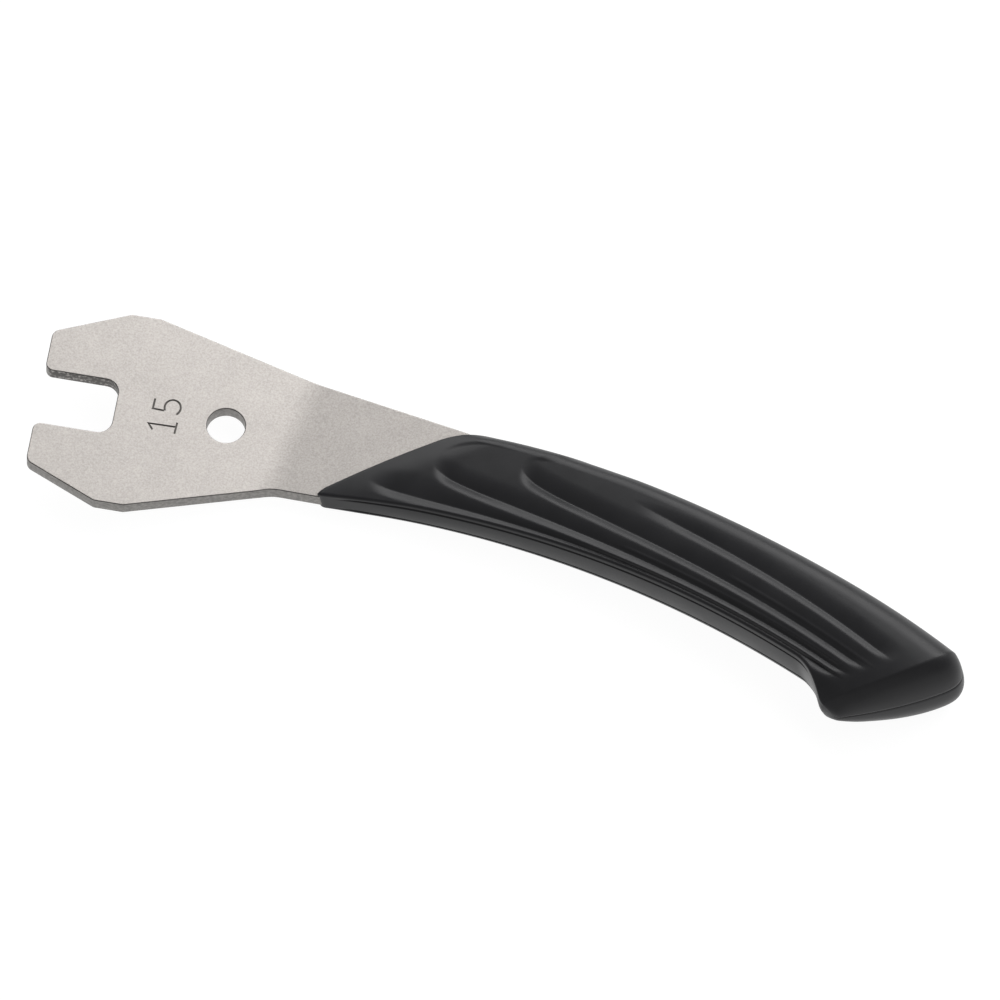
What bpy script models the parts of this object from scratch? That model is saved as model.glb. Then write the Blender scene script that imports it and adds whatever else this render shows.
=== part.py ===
"""Pedal wrench: a bent steel wrench blade whose tang is moulded into a curved, fluted plastic grip.

All sizes are in millimetres, and MM turns them into Blender's metres.

Two frames are used while modelling:
- the handle frame (p, q, h): p runs along the neck from the bend towards the butt, q across the handle
  towards its outer, convex side, and h up through the plate, with h = 0 in the middle of the plate;
- the grip's own lines (s, n): s along the handle's curved centre arc, n across it, outwards.
"""

import math

import bmesh
import bpy
import numpy as np
from mathutils import Matrix, Vector

MM = 0.001

# Blade
PLATE = 4.0
EDGE_BREAK = 0.3
JAW_HALF = 7.6
JAW_BOTTOM = -45.1
JAW_CORNER = 3.0
TIP = -64.4
TIP_HALF = 18.7
SHOULDER = -45.7
SIDE_END = -38.2
SIDE_HALF = 26.9
HOLE_CENTRE = (-16.9, 0.0)
HOLE_RADIUS = 5.0
HOLE_SIDES = 48
HEAD_TURN = math.radians(10.5)
ARC_STEP = math.radians(18.0)
TIP_FILLET = 2.5
SIDE_FILLET = 2.0
SHOULDER_FILLET = 2.0
NECK_END_FILLET = 1.0
NECK_CORNER = (0.7, -15.8)
NECK_FILLET = 10.0
NECK_NEAR_END = (15.2, -14.7)
NECK_FAR_END = (43.5, 12.8)
BEND_ANGLE = math.radians(10.0)
BEND_RADIUS = 40.0
BEND_CUTS = 9

# Tang, inside the grip
TANG_FRONT = 60.0
TANG_MIDDLE = 105.0
TANG_TAIL = 150.0
TANG_END = 158.0
TANG_FRONT_HALF = 9.0
TANG_MIDDLE_HALF = 7.5
TANG_TAIL_HALF = 6.0
TANG_END_HALF = 3.0
SHOULDER_NEAR = (17.0, -10.8)
SHOULDER_FAR = (46.5, 10.8)
CLEARANCE = 0.3

# Grip
ARC_RADIUS = 306.0
ARC_START = 52.0
NEAR_WALL = -12.4
FAR_MEAN = 13.0
FAR_SWELL = 0.42
FAR_SWELL_PEAK = 62.0
FAR_SWELL_PERIOD = 128.0
MOUTH_START = 9.1
MOUTH_LEAN = math.radians(37.0)
MOUTH_TIP_SETBACK = 1.8
MOUTH_TIP_REACH = 3.0
MOUTH_FAR = 13.1
MOUTH_ARC_RADIUS = 22.3
MOUTH_RIM = 3.3
MOUTH_RISE = 14.0
MOUTH_EDGE = 0.9
HOOK_START = 149.5
HOOK_LENGTH = 16.0
HOOK_POWER = 1.9
HOOK_FALL = 1.2
HOOK_DEPTH = 5.0
HOOK_TURN = 4.5
HOOK_TIP_RADIUS = 1.3
END_MIDDLE = (182.3, 2.0)
END_SLANT = 0.51
END_BOW = 0.0123
END_CORNER_START = 3.0
END_CORNER_BOW = 0.03
BUTT_BULGE = 3.5
BUTT_POWER = 4
BUTT_CORNER = 6.0
CROWN_LINE = 4.0
CROWN_START = 45.0
CROWN_FRONT = 5.0
CROWN_BUTT = 10.6
WALL_FRONT = 3.4
WALL_BACK = 6.8
WALL_POWER = 1.15
WALL_FILLET = 0.7
ROUND_START = 44.0
ROUND_OPEN = 60.0
ROUND_MOUTH = 1.0
ROUND_FRONT = 3.2
ROUND_BUTT = 7.0

# Grip mesh
GRIP_LENGTH = 155.0
EDGE_STEPS = 3
STATIONS = 50
WALL_STEPS = 4
FILLET_STEPS = 2
NEAR_STEPS = 4
LOBE_PLACES = (0.14, 0.32, 0.52, 0.7, 0.86, 1.0)
FAR_STEPS = 6
ROUND_STEPS = 4
VALLEY_SPACE = 0.4
LEVELS = [math.sin(math.pi / 2 * step / WALL_STEPS) for step in range(WALL_STEPS + 1)]

# Pose at rest
REST_PITCH = math.radians(2.58)
REST_ROLL = math.radians(1.22)


class Flute:
    """One crescent-nosed flute: its valley line, its far brim, its depth and how it starts."""

    def __init__(self, nose, run_out, reach, power, brim, depth, ramp, step):
        self.nose_s, self.nose_n = nose
        self.run_out = run_out
        self.reach = reach
        self.power = power
        self.brim_n = brim
        self.depth = depth
        self.ramp = ramp
        self.step = step

    def valley(self, s):
        """n of the valley line: a quarter superellipse that starts across the grip and ends along it."""
        left = np.clip((self.nose_s + self.reach - s) / self.reach, 0.0, 1.0)
        fall = (1.0 - left**self.power) ** (1.0 / self.power)
        return self.nose_n - (self.nose_n - self.run_out) * fall

    def brim(self, s):
        """n of the crescent edge on the flute's far side."""
        left = np.clip((self.nose_s + CRESCENT - s) / CRESCENT, 0.0, 1.0)
        return self.nose_n + (self.brim_n - self.nose_n) * np.sqrt(1.0 - left**2)


FLUTES = [
    Flute(nose=(23.0, -4.9), run_out=-11.1, reach=149.0, power=2.9, brim=-2.6, depth=0.7, ramp=12.0, step=0.0),
    Flute(nose=(38.5, 1.9), run_out=-9.2, reach=111.0, power=2.12, brim=10.8, depth=0.9, ramp=9.0, step=0.25),
    Flute(nose=(60.5, 7.0), run_out=-5.8, reach=154.0, power=2.49, brim=11.0, depth=1.0, ramp=8.0, step=0.25),
    Flute(nose=(91.0, 5.7), run_out=-2.5, reach=180.0, power=1.41, brim=7.2, depth=0.8, ramp=24.0, step=0.0),
]
CRESCENT = 14.0
STEP_WIDTH = 1.5
STEP_REACH = 12.0
VALLEY_RADIUS = 0.25
RISE_WIDTH = 4.5
FLANK_NOSE = 2.5
FLANK_BUTT = 1.8
FLANK_START = 60.0
FLANK_END = 150.0
RISE_POWER = 2.0
FALL_POWER = 1.5
FLUTE_END_SPACE = 8.0
FLUTE_END_FADE = 8.0


def smooth(x):
    """0 to 1 with level ends, as x goes from 0 to 1."""
    x = np.clip(x, 0.0, 1.0)
    return x * x * (3.0 - 2.0 * x)


def plan(s, n):
    """(p, q) of a point given along and across the grip's centre arc."""
    turn = (np.asarray(s) - ARC_START) / ARC_RADIUS
    radius = ARC_RADIUS + np.asarray(n)
    return ARC_START + radius * np.sin(turn), radius * np.cos(turn) - ARC_RADIUS


def mouth_line(n):
    """s of the grip's slanted mouth: a straight line that curves into the far edge."""
    n = np.asarray(n, dtype=float)
    arc_start = MOUTH_FAR - MOUTH_ARC_RADIUS * (1.0 - math.cos(MOUTH_LEAN))
    straight = MOUTH_START + (n - NEAR_WALL) / math.tan(MOUTH_LEAN)
    tip = MOUTH_TIP_SETBACK * (1.0 - np.clip((n - NEAR_WALL) / MOUTH_TIP_REACH, 0.0, 1.0)) ** 2
    arc_end = MOUTH_START + (arc_start - NEAR_WALL) / math.tan(MOUTH_LEAN) + MOUTH_ARC_RADIUS * math.sin(MOUTH_LEAN)
    height = np.clip(MOUTH_ARC_RADIUS - (MOUTH_FAR - n), 0.0, MOUTH_ARC_RADIUS)
    arc = arc_end - np.sqrt(MOUTH_ARC_RADIUS**2 - height**2)
    return np.where(n < arc_start, straight + tip, arc)


def end_line(n):
    """s of the edge round the butt's end face: slanted, bowed outwards, and bowed more near the far side."""
    across = np.asarray(n, dtype=float) - END_MIDDLE[1]
    bow = END_BOW * across**2 + END_CORNER_BOW * np.maximum(across - END_CORNER_START, 0.0) ** 2
    return END_MIDDLE[0] + END_SLANT * across - bow


def near_line(s):
    """n of the near side: the straight wall, then the hook's flare, which turns along the grip at its tip."""
    flare = HOOK_DEPTH * (np.maximum(np.asarray(s) - HOOK_START, 0.0) / HOOK_LENGTH) ** HOOK_POWER
    turned = HOOK_TURN + HOOK_TIP_RADIUS * np.tanh((flare - HOOK_TURN) / HOOK_TIP_RADIUS)
    return NEAR_WALL - np.where(flare < HOOK_TURN, flare, turned)


def far_line(s):
    """n of the far side, which swells a little behind the mouth and at the butt."""
    return FAR_MEAN + FAR_SWELL * np.cos(2.0 * math.pi * (np.asarray(s) - FAR_SWELL_PEAK) / FAR_SWELL_PERIOD)


def crown_height(s):
    """Height of the grip's crown line above the plate's middle."""
    return CROWN_FRONT + (CROWN_BUTT - CROWN_FRONT) * (np.asarray(s) - CROWN_START) / (END_MIDDLE[0] - CROWN_START)


def wall_height(s):
    """Height of the near wall above the plate's middle."""
    share = np.clip((np.asarray(s) - MOUTH_START) / (HOOK_START - MOUTH_START), 0.0, 1.0)
    return WALL_FRONT + (WALL_BACK - WALL_FRONT) * np.sin(share * math.pi / 2) ** WALL_POWER


def far_radius(s):
    """Radius that rounds the far side into the crown: small beside the mouth, then growing to the butt."""
    opening = smooth((s - ROUND_START) / (ROUND_OPEN - ROUND_START))
    growth = np.clip((s - CROWN_START) / (END_MIDDLE[0] - CROWN_START), 0.0, 1.0)
    return ROUND_MOUTH + (ROUND_FRONT - ROUND_MOUTH) * opening + (ROUND_BUTT - ROUND_FRONT) * growth


def flank(s):
    """Width of the near side of a valley, which narrows towards the butt."""
    share = np.clip((s - FLANK_START) / (FLANK_END - FLANK_START), 0.0, 1.0)
    return FLANK_NOSE + (FLANK_BUTT - FLANK_NOSE) * share


def flute_depth(s, n):
    """How far the flutes cut into the crown at (s, n)."""
    total = np.zeros(np.broadcast(s, n).shape)
    end = 1.0 - smooth((s - end_line(n) + FLUTE_END_SPACE) / FLUTE_END_FADE + 0.5)
    for place, flute in enumerate(FLUTES):
        valley = flute.valley(s)
        brim = flute.brim(s)
        crescent = smooth((brim - n) / STEP_WIDTH)
        if place + 1 < len(FLUTES):
            after = FLUTES[place + 1]
            crest = after.valley(s) - flank(s)
            brim = brim + (crest - brim) * smooth((s - after.nose_s + CRESCENT / 2) / CRESCENT)
        away = np.sqrt((n - valley) ** 2 + VALLEY_RADIUS**2) - VALLEY_RADIUS
        width = np.clip(brim - valley, 0.5, RISE_WIDTH)
        rise = (1.0 - np.clip(away / width, 0.0, 1.0)) ** RISE_POWER
        fall = (1.0 - np.clip(away / flank(s), 0.0, 1.0)) ** FALL_POWER
        ramp = smooth((s - flute.nose_s) / flute.ramp)
        step = flute.step * (1.0 - smooth((s - flute.nose_s - STEP_REACH) / STEP_REACH))
        inside = flute.depth * rise + step * crescent
        outside = (flute.depth + step) * fall
        total = total + ramp * end * np.where(n > valley, inside, outside)
    return total


def crown(s, n):
    """Height of the fluted top surface above the plate's middle."""
    top = crown_height(s)
    drop = (top - wall_height(s)) * ((CROWN_LINE - n) / (CROWN_LINE - NEAR_WALL)) ** 2
    hook = HOOK_FALL * (np.maximum(NEAR_WALL - n, 0.0) / HOOK_TURN) ** 2
    body = top - drop - hook
    rise = np.sin(np.clip((s - mouth_line(n)) / MOUTH_RISE, 0.0, 1.0) * math.pi / 2)
    return MOUTH_RIM + (body - MOUTH_RIM) * rise - flute_depth(s, n)


def station(share, drop):
    """Half a section, from the near parting line over the crown to the far one, as rows of (s, n, h).

    share goes from 0 at the mouth to 1 at the butt's edge, and drop moves the section inwards, which rounds
    the edges at both ends.
    """

    def s_at(n):
        return (1.0 - share) * mouth_line(n) + share * end_line(n)

    near, far = NEAR_WALL, FAR_MEAN
    for _ in range(40):
        near += 0.5 * (float(near_line(s_at(near))) - near)
        far += 0.5 * (float(far_line(s_at(far))) - far)
    s_near = float(s_at(near))
    slope = float(crown(s_near, near + 1.0) - crown(s_near, near + 0.5)) / 0.5
    sweep = math.pi / 2 - math.atan(max(slope, 0.0))
    lift = WALL_FILLET * math.sin(sweep)
    fillet_n = near + WALL_FILLET * (1.0 - math.cos(sweep))
    wall_top = float(crown(s_at(fillet_n), fillet_n)) - lift
    radius = float(far_radius(s_at(far)))
    round_n = far - radius
    side_top = float(crown(s_at(round_n), round_n)) - radius

    across = []
    last = fillet_n
    for flute in FLUTES:
        low, high = last + VALLEY_SPACE, round_n
        for _ in range(40):
            middle = (low + high) / 2
            if float(flute.valley(s_at(middle))) > middle:
                low = middle
            else:
                high = middle
        places = LOBE_PLACES if across else np.linspace(0.0, 1.0, NEAR_STEPS + 1)[1:]
        across += [last + (high - last) * place for place in places]
        last = high
    across += list(np.linspace(last, round_n, FAR_STEPS + 1)[1:])

    rows = []
    for level in LEVELS:
        rows.append((near, wall_top * level, 1.0, 0.0))
    for step in range(1, FILLET_STEPS + 1):
        turn = sweep * step / FILLET_STEPS
        rows.append((near + WALL_FILLET * (1.0 - math.cos(turn)), wall_top + WALL_FILLET * math.sin(turn),
                     math.cos(turn), -math.sin(turn)))
    for n in across:
        rows.append((n, float(crown(s_at(n), n)), 0.0, -1.0))
    for step in range(1, ROUND_STEPS + 1):
        turn = math.pi / 2 * step / ROUND_STEPS
        rows.append((round_n + radius * math.sin(turn), side_top + radius * math.cos(turn),
                     -math.sin(turn), -math.cos(turn)))
    for level in LEVELS[-2::-1]:
        rows.append((far, side_top * level, -1.0, 0.0))
    points = []
    for n, h, inward_n, inward_h in rows:
        points.append((float(s_at(n)), n + drop * inward_n, max(h + drop * inward_h, 0.0)))
    return points


def shares():
    """Where the sections stand, each with its drop, closer together at the mouth's rounded edge."""
    mouth_edge = MOUTH_EDGE / math.sin(MOUTH_LEAN) / GRIP_LENGTH
    rows = []
    for step in range(EDGE_STEPS):
        turn = math.pi / 2 * step / EDGE_STEPS
        rows.append((mouth_edge * (1.0 - math.cos(turn)), MOUTH_EDGE * (1.0 - math.sin(turn))))
    for share in np.linspace(mouth_edge, 1.0, STATIONS):
        rows.append((float(share), 0.0))
    return rows


def end_bulge(n, level):
    """How far the butt's end face stands out past its edge; level is 0 at the parting line and 1 at the edge."""
    far = np.clip((far_line(end_line(n)) - n) / BUTT_CORNER, 0.0, 1.0)
    near = np.clip((n - near_line(end_line(n))) / HOOK_TIP_RADIUS, 0.0, 1.0)
    corner = math.sqrt(1.0 - (1.0 - far) ** 2) * math.sqrt(1.0 - (1.0 - near) ** 2)
    return float(BUTT_BULGE * math.sqrt(1.0 - level**BUTT_POWER) * corner)


def flat_mouth(n, level):
    """The mouth's face stands straight under its edge all along."""
    return 0.0


def material(name, colour, metallic, roughness):
    """A Principled material."""
    made = bpy.data.materials.new(name)
    made.use_nodes = True
    shader = made.node_tree.nodes["Principled BSDF"]
    shader.inputs["Base Color"].default_value = (*colour, 1.0)
    shader.inputs["Metallic"].default_value = metallic
    shader.inputs["Roughness"].default_value = roughness
    return made


def add_object(name, mesh, parent, look):
    """Links a mesh as an object under the parent, shaded smooth but for its sharp edges."""
    mesh.shade_smooth()
    mesh.set_sharp_from_angle(angle=math.radians(35.0))
    mesh.materials.append(look)
    made = bpy.data.objects.new(name, mesh)
    made.parent = parent
    bpy.context.scene.collection.objects.link(made)
    return made


def head_point(u, v):
    """(p, q) of a point on the flat blank given along and across the jaw's axis."""
    return (u * math.cos(HEAD_TURN) - v * math.sin(HEAD_TURN), u * math.sin(HEAD_TURN) + v * math.cos(HEAD_TURN))


def filleted(corners):
    """A closed outline through (point, radius) corners, each rounded by an arc."""
    outline = []
    for index, (corner, radius) in enumerate(corners):
        here = Vector(corner)
        to_last = (Vector(corners[index - 1][0]) - here).normalized()
        to_next = (Vector(corners[(index + 1) % len(corners)][0]) - here).normalized()
        half = to_last.angle(to_next) / 2
        if radius == 0.0:
            outline.append(here)
            continue
        centre = here + (to_last + to_next).normalized() * (radius / math.sin(half))
        start = here + to_last * (radius / math.tan(half)) - centre
        turn = start.angle_signed(here + to_next * (radius / math.tan(half)) - centre)
        steps = max(2, round(abs(turn) / ARC_STEP))
        for step in range(steps + 1):
            outline.append(centre + Matrix.Rotation(-turn * step / steps, 2) @ start)
    return outline


def grown(outline, distance):
    """The outline moved outwards by a distance; it runs clockwise seen from above."""
    moved = []
    for index, here in enumerate(outline):
        before = (here - outline[index - 1]).normalized()
        after = (outline[(index + 1) % len(outline)] - here).normalized()
        normal_before = Vector((-before.y, before.x))
        normal_after = Vector((-after.y, after.x))
        mitre = (normal_before + normal_after).normalized()
        moved.append(here + mitre * (distance / max(mitre.dot(normal_before), 0.5)))
    return moved


def blank_outline():
    """The blade's outline before bending, clockwise seen from above, tang included."""
    corners = [(NECK_FAR_END, NECK_END_FILLET)]
    corners += [(tuple(float(x) for x in plan(*SHOULDER_FAR)), SHOULDER_FILLET)]
    tang = [(TANG_FRONT, TANG_FRONT_HALF), (TANG_MIDDLE, TANG_MIDDLE_HALF), (TANG_TAIL, TANG_TAIL_HALF),
            (TANG_END, TANG_END_HALF)]
    for s, n in tang:
        corners.append((tuple(float(x) for x in plan(s, n)), 0.0))
    for s, n in reversed(tang):
        corners.append((tuple(float(x) for x in plan(s, -n)), 0.0))
    corners += [(tuple(float(x) for x in plan(*SHOULDER_NEAR)), SHOULDER_FILLET)]
    corners += [(NECK_NEAR_END, NECK_END_FILLET / 2), (NECK_CORNER, NECK_FILLET)]
    corners += [(head_point(SIDE_END, -SIDE_HALF), SIDE_FILLET), (head_point(SHOULDER, -SIDE_HALF), SIDE_FILLET)]
    corners += [(head_point(TIP, -TIP_HALF), TIP_FILLET), (head_point(TIP, -JAW_HALF), SIDE_FILLET)]
    corners += [(head_point(JAW_BOTTOM, -JAW_HALF), JAW_CORNER), (head_point(JAW_BOTTOM, JAW_HALF), JAW_CORNER)]
    corners += [(head_point(TIP, JAW_HALF), SIDE_FILLET), (head_point(TIP, TIP_HALF), TIP_FILLET)]
    corners += [(head_point(SHOULDER, SIDE_HALF), SIDE_FILLET), (head_point(SIDE_END, SIDE_HALF), SIDE_FILLET)]
    return filleted(corners)


def ring(shape, outline, h):
    """The vertices of one closed ring at height h."""
    return [shape.verts.new((point.x, point.y, h)) for point in outline]


def wall_between(shape, lower, upper):
    """The faces between two rings of as many vertices."""
    for index in range(len(lower)):
        after = (index + 1) % len(lower)
        shape.faces.new((lower[index], lower[after], upper[after], upper[index]))


def blank_mesh(name, growth, edge_break, with_hole):
    """The flat blank as a closed mesh: its outline grown, extruded through the plate, with broken edges."""
    shape = bmesh.new()
    half = PLATE / 2 + growth
    outlines = [grown(blank_outline(), growth)]
    if with_hole:
        centre = Vector(head_point(*HOLE_CENTRE))
        spokes = [2.0 * math.pi * step / HOLE_SIDES for step in range(HOLE_SIDES)]
        outlines.append([centre + HOLE_RADIUS * Vector((math.cos(turn), math.sin(turn))) for turn in spokes])
    faces_to_fill = {-half: [], half: []}
    for outline in outlines:
        inner = grown(outline, -edge_break)
        levels = [(-half, inner), (-half + edge_break, outline), (half - edge_break, outline), (half, inner)]
        if edge_break == 0.0:
            levels = [(-half, outline), (half, outline)]
        rings = [ring(shape, points, h) for h, points in levels]
        for lower, upper in zip(rings, rings[1:]):
            wall_between(shape, lower, upper)
        faces_to_fill[-half] += rings[0]
        faces_to_fill[half] += rings[-1]
    for rim in faces_to_fill.values():
        members = set(rim)
        edges = [edge for edge in shape.edges if edge.verts[0] in members and edge.verts[1] in members]
        bmesh.ops.triangle_fill(shape, use_beauty=True, use_dissolve=False, edges=edges)
    bmesh.ops.recalc_face_normals(shape, faces=shape.faces)
    mesh = bpy.data.meshes.new(name)
    shape.to_mesh(mesh)
    shape.free()
    return mesh


def bent(point):
    """Where a point of the flat blank goes when the head is bent up across the neck."""
    arc = BEND_RADIUS * BEND_ANGLE
    start = arc / 2
    past = start - point.x
    if past <= 0.0:
        return point
    turn = min(past / arc, 1.0) * BEND_ANGLE
    straight = max(past - arc, 0.0)
    radius = BEND_RADIUS - point.z
    x = start - radius * math.sin(turn) - straight * math.cos(turn)
    z = BEND_RADIUS - radius * math.cos(turn) + straight * math.sin(turn)
    return Vector((x, point.y, z))


def build_blade(parent):
    """The bent steel blade with its jaw, hanging hole, neck and tang."""
    mesh = blank_mesh("wrench_blade", 0.0, EDGE_BREAK, True)
    shape = bmesh.new()
    shape.from_mesh(mesh)
    arc = BEND_RADIUS * BEND_ANGLE
    for cut in range(BEND_CUTS):
        place = arc * (0.5 - cut / (BEND_CUTS - 1))
        geometry = shape.verts[:] + shape.edges[:] + shape.faces[:]
        bmesh.ops.bisect_plane(shape, geom=geometry, plane_co=(place, 0, 0), plane_no=(1, 0, 0), dist=1e-5)
    bmesh.ops.triangulate(shape, faces=[face for face in shape.faces if len(face.verts) > 4])
    for vert in shape.verts:
        vert.co = bent(vert.co) * MM
    shape.to_mesh(mesh)
    shape.free()
    return add_object("wrench_blade", mesh, parent, material("blasted_steel", (0.58, 0.56, 0.53), 1.0, 0.45))


def build_grip(parent):
    """The moulded grip: a closed skin of sections, closed by the mouth and end faces, and hollowed for the tang."""
    shape = bmesh.new()

    def vert(s, n, h):
        p, q = plan(s, n)
        return shape.verts.new((float(p) * MM, float(q) * MM, h * MM))

    places = shares()
    upper, lower = [], []
    for share, drop in places:
        points = station(share, drop)
        top = [vert(*point) for point in points]
        middle = (top[0], top[-1])
        bottom = [middle[0]] + [vert(s, n, -h) for s, n, h in points[1:-1]] + [middle[1]]
        upper.append(top)
        lower.append(bottom)
    for skin in (upper, lower):
        for row, after in zip(skin, skin[1:]):
            for index in range(len(row) - 1):
                shape.faces.new((row[index], row[index + 1], after[index + 1], after[index]))

    def close(place, bulge):
        """A face from a section's top edge to its bottom edge, which bulges out between them."""
        top, bottom = upper[place], lower[place]
        first, last = WALL_STEPS, len(top) - 1 - WALL_STEPS
        levels = LEVELS[::-1] + [-level for level in LEVELS[1:]]
        points = station(*places[place])
        columns = []
        for column in range(first, last + 1):
            if column == first:
                side = [top[WALL_STEPS - step] for step in range(WALL_STEPS + 1)]
                side += [bottom[step] for step in range(1, WALL_STEPS + 1)]
            elif column == last:
                side = [top[last + step] for step in range(WALL_STEPS + 1)]
                side += [bottom[-1 - step] for step in range(1, WALL_STEPS + 1)]
            else:
                s, n, h = points[column]
                side = [top[column]]
                for level in levels[1:-1]:
                    side.append(vert(s + bulge(n, level), n, h * level))
                side.append(bottom[column])
            columns.append(side)
        for left, right in zip(columns, columns[1:]):
            for index in range(2 * WALL_STEPS):
                shape.faces.new((left[index], left[index + 1], right[index + 1], right[index]))

    close(0, flat_mouth)
    close(-1, end_bulge)
    bmesh.ops.recalc_face_normals(shape, faces=shape.faces)
    mesh = bpy.data.meshes.new("grip")
    shape.to_mesh(mesh)
    shape.free()
    grip = add_object("grip", mesh, parent, material("black_plastic", (0.012, 0.012, 0.014), 0.0, 0.42))

    pocket_mesh = blank_mesh("tang_pocket", CLEARANCE, 0.0, False)
    pocket_mesh.transform(Matrix.Scale(MM, 4))
    pocket = bpy.data.objects.new("tang_pocket", pocket_mesh)
    pocket.parent = parent
    pocket.hide_render = True
    pocket.display_type = "WIRE"
    bpy.context.scene.collection.objects.link(pocket)
    cut = grip.modifiers.new("tang_pocket", "BOOLEAN")
    cut.operation = "DIFFERENCE"
    cut.solver = "EXACT"
    cut.object = pocket
    return grip


def settle(parent, pieces):
    """Lays the tool down as it rests and moves the origin to the middle of its box's underside."""
    parent.rotation_euler = (REST_ROLL, -REST_PITCH, 0.0)
    bpy.context.view_layer.update()
    graph = bpy.context.evaluated_depsgraph_get()
    corners = []
    for piece in pieces:
        seen = piece.evaluated_get(graph)
        mesh = seen.to_mesh()
        corners += [seen.matrix_world @ vert.co for vert in mesh.vertices]
        seen.to_mesh_clear()
    spans = [(min(c[axis] for c in corners), max(c[axis] for c in corners)) for axis in range(3)]
    parent.location = (-sum(spans[0]) / 2, -sum(spans[1]) / 2, -spans[2][0])
    bpy.context.view_layer.update()


def main():
    for old in list(bpy.data.objects):
        bpy.data.objects.remove(old, do_unlink=True)
    wrench = bpy.data.objects.new("pedal_wrench", None)
    bpy.context.scene.collection.objects.link(wrench)
    pieces = [build_blade(wrench), build_grip(wrench)]
    settle(wrench, pieces)


main()
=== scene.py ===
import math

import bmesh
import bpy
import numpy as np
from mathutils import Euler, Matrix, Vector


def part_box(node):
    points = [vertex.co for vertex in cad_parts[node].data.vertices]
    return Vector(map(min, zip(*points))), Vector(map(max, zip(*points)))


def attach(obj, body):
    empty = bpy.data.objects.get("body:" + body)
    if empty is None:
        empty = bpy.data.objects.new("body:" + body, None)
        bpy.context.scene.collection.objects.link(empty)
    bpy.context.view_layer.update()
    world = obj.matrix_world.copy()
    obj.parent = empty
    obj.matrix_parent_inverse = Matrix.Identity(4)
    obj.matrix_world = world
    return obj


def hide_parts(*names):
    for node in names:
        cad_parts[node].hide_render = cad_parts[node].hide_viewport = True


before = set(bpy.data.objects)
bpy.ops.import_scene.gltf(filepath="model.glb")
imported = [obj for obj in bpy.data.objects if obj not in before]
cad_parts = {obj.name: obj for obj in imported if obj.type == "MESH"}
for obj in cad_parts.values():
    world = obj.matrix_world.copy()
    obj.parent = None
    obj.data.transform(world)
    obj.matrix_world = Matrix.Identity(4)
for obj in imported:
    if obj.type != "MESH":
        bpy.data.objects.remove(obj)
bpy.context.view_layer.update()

# The looks of the pedal wrench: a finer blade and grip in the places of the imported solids, their
# finishes, and the floor, the light and the camera.
#
# Sizes are in millimetres, and MM turns them into metres. Two frames are used while modelling:
# - the handle frame (p, q, h): p runs along the neck from the bend towards the butt, q across the handle
#   towards its outer, convex side, and h up through the plate, with h = 0 in the middle of the plate;
# - the grip's own lines (s, n): s along the handle's curved centre arc, n across it, outwards.

MM = 0.001

# Pose of the handle frame at rest
REST_PITCH = math.radians(2.58)
REST_ROLL = math.radians(1.22)

# Blade: the plate and its rounded edges
PLATE = 4.0
EDGE_RADIUS = 0.25
EDGE_CUTS = 4

# Blade: the head, along and across the jaw's axis, and how far that axis is turned from the neck
JAW_HALF = 7.6
JAW_BOTTOM = -45.1
JAW_CORNER = 3.6
TIP = -64.4
TIP_HALF = 18.7
SHOULDER = -45.7
SIDE_END = -38.2
SIDE_HALF = 26.9
HOLE_CENTRE = (-16.9, 0.0)
HOLE_RADIUS = 4.85
HOLE_SPOKES = 120
HEAD_TURN = math.radians(10.5)

# Blade: radii of the outline's corners, the step along their arcs, and the least share of a mitre
TIP_FILLET = 2.5
SIDE_FILLET = 2.0
SHOULDER_FILLET = 2.0
NECK_END_FILLET = 1.0
NECK_FILLET = 10.0
ARC_STEP = math.radians(5.0)
MITRE_LIMIT = 0.5

# Blade: the neck's corners in (p, q), and the bend across the neck
NECK_CORNER = (0.7, -15.8)
NECK_NEAR_END = (13.2, -14.85)
NECK_FAR_END = (43.5, 12.8)
BEND_ANGLE = math.radians(10.0)
BEND_RADIUS = 40.0
BEND_CUTS = 33

# Blade: the tang's shoulders in (s, n), its half width at places along the grip, and the space round it
SHOULDER_NEAR = (17.0, -10.8)
SHOULDER_FAR = (46.5, 10.8)
TANG = [(60.0, 9.0), (105.0, 7.5), (150.0, 6.0), (158.0, 3.0)]
CLEARANCE = 0.06

# Grip: the centre arc, the straight near wall and the gently swelling far side
ARC_RADIUS = 306.0
ARC_START = 52.0
NEAR_WALL = -12.4
FAR_MEAN = 13.0
FAR_SWELL = 0.42
FAR_SWELL_PEAK = 62.0
FAR_SWELL_PERIOD = 128.0

# Grip: the slanted mouth
MOUTH_START = 9.1
MOUTH_LEAN = math.radians(37.0)
MOUTH_TIP_SETBACK = 1.8
MOUTH_TIP_REACH = 3.0
MOUTH_FAR = 13.1
MOUTH_ARC_RADIUS = 22.3
MOUTH_RIM = 3.3
MOUTH_RISE = 14.0
MOUTH_EDGE = 0.9

# Grip: the hooked finger stop
HOOK_START = 153.0
HOOK_LENGTH = 12.0
HOOK_POWER = 1.7
HOOK_FALL = 1.2
HOOK_DEPTH = 5.0
HOOK_TURN = 4.5
HOOK_TIP_RADIUS = 1.3

# Grip: the edge round the end face, the face's bulge, and the parting line across it
END_MIDDLE = (182.3, 2.0)
END_SLANT = 0.51
END_BOW = 0.0123
END_CORNER_START = 3.0
END_CORNER_BOW = 0.03
BUTT_BULGE = 4.0
BUTT_POWER = 3.0
BUTT_FALL = 0.9
BUTT_CORNER = 6.0
PARTING_DEPTH = 0.13
PARTING_HALF = 0.03

# Grip: the crown's height, from beside the mouth to the butt
CROWN_LINE = 4.0
CROWN_START = 45.0
CROWN_FRONT = 5.0
CROWN_BUTT = 10.6

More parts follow.
